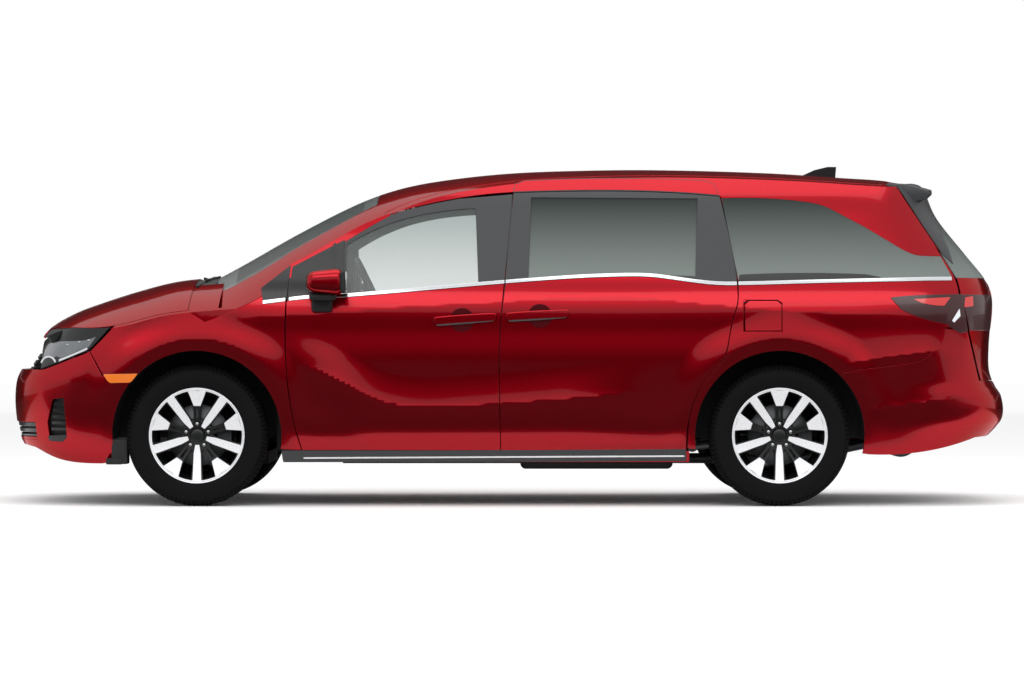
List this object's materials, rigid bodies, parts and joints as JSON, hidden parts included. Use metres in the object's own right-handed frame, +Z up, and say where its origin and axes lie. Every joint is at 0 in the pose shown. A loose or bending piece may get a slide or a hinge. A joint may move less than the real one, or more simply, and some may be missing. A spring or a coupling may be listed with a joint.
{
  "type": "minivan",
  "caption": "Family minivan with hinged front doors, hood and tailgate, steered front wheels, sliding side doors and a hollow cabin with three seat rows.",
  "frame": {"origin": "on the ground under the middle of the vehicle's length and width", "axes": "+X rearwards along the length, +Y to the vehicle's right, +Z up"},
  "size_m": [5.2265, 2.36, 1.785],
  "materials": {
    "paint": "metallic red clear coat",
    "clear_glass": "clear tinted",
    "privacy_glass": "dark tinted",
    "red_lens": "smoked red lens",
    "clear_lens": "clear lens over black",
    "black_trim": "satin black",
    "gloss_black": "gloss black",
    "chassis": "dark grey coated",
    "cast_metal": "as cast",
    "steel": "dull",
    "cabin_plastic": "grained",
    "seat_cover": "grained",
    "alloy": "machined face with black pockets",
    "tyre": "moulded"
  },
  "bodies": {
    "shell": {"sliding_doors": "paint", "side_frame_L": "paint", "side_frame_R": "paint", "side_glass": "privacy_glass", "tail_lamps": "red_lens", "fenders": "paint", "front_bumper": "paint", "front_grille": "black_trim", "headlamps": "clear_lens", "windscreen": "clear_glass", "roof_panel": "paint", "rear_bumper": "paint", "sill_mouldings": "black_trim", "antenna_fin": "gloss_black", "underbody": "chassis", "engine": "cast_metal", "fuel_tank": "black_trim", "exhaust": "steel", "dashboard": "cabin_plastic", "seats": "seat_cover", "rear_floor": "chassis", "front_subframe": "chassis", "rear_suspension": "chassis"},
    "steer_L": {"front_knuckle_L": "cast_metal"},
    "steer_R": {"front_knuckle_R": "cast_metal"},
    "wheel_front_L": {"wheel_FL": "alloy", "tyre_FL": "tyre"},
    "wheel_front_R": {"wheel_FR": "alloy", "tyre_FR": "tyre"},
    "wheel_rear_L": {"wheel_RL": "alloy", "tyre_RL": "tyre"},
    "wheel_rear_R": {"wheel_RR": "alloy", "tyre_RR": "tyre"},
    "door_L": {"front_door_L": "paint", "door_glass_L": "clear_glass", "mirror_L": "paint"},
    "door_R": {"front_door_R": "paint", "door_glass_R": "clear_glass", "mirror_R": "paint"},
    "hood_lid": {"hood": "paint"},
    "gate": {"tailgate": "paint", "tailgate_glass": "privacy_glass", "tailgate_lamps": "red_lens"},
    "fuel_lid": {"fuel_door": "paint"},
    "hand_wheel": {"steering_wheel": "cabin_plastic"}
  },
  "joints": [
    {"name": "steering_left", "type": "hinge", "parent": "shell", "child": "steer_L", "pos_m": [-1.605, -0.774, 0.25], "axis": [0, 0, 1], "range_deg": [-35, 35]},
    {"name": "steering_right", "type": "hinge", "parent": "shell", "child": "steer_R", "pos_m": [-1.605, 0.774, 0.25], "axis": [0, 0, 1], "range_deg": [-36, 36]},
    {"name": "hand_wheel_turn", "type": "hinge", "parent": "shell", "child": "hand_wheel", "pos_m": [-0.722, -0.4, 1.105], "axis": [0.9063, 0, 0.4226], "range_deg": [-530, 530]},
    {"name": "wheel_front_left_spin", "type": "hinge", "parent": "steer_L", "child": "wheel_front_L", "pos_m": [-1.605, -0.855, 0.364], "axis": [0, 1, 0], "continuous": true},
    {"name": "wheel_front_right_spin", "type": "hinge", "parent": "steer_R", "child": "wheel_front_R", "pos_m": [-1.605, 0.855, 0.364], "axis": [0, 1, 0], "continuous": true},
    {"name": "wheel_rear_left_spin", "type": "hinge", "parent": "shell", "child": "wheel_rear_L", "pos_m": [1.395, -0.855, 0.364], "axis": [0, 1, 0], "continuous": true},
    {"name": "wheel_rear_right_spin", "type": "hinge", "parent": "shell", "child": "wheel_rear_R", "pos_m": [1.395, 0.855, 0.364], "axis": [0, 1, 0], "continuous": true},
    {"name": "front_door_left", "type": "hinge", "parent": "shell", "child": "door_L", "pos_m": [-1.076, -0.979, 0.8], "axis": [0, 0, -1], "range_deg": [0, 65]},
    {"name": "front_door_right", "type": "hinge", "parent": "shell", "child": "door_R", "pos_m": [-1.076, 0.979, 0.8], "axis": [0, 0, 1], "range_deg": [0, 65]},
    {"name": "hood_hinge", "type": "hinge", "parent": "shell", "child": "hood_lid", "pos_m": [-1.54, 0, 1.056], "axis": [0, 1, 0], "range_deg": [0, 42]},
    {"name": "tailgate_hinge", "type": "hinge", "parent": "shell", "child": "gate", "pos_m": [1.994, 0, 1.688], "axis": [0, -1, 0], "range_deg": [0, 82]},
    {"name": "fuel_door_hinge", "type": "hinge", "parent": "shell", "child": "fuel_lid", "pos_m": [1.238, -0.976, 0.94], "axis": [0, 0, -1], "range_deg": [0, 95]}
  ],
  "couplings": [
    {"joint": "steering_right", "follows": "steering_left", "ratio": 1},
    {"joint": "hand_wheel_turn", "follows": "steering_left", "ratio": 15}
  ]
}
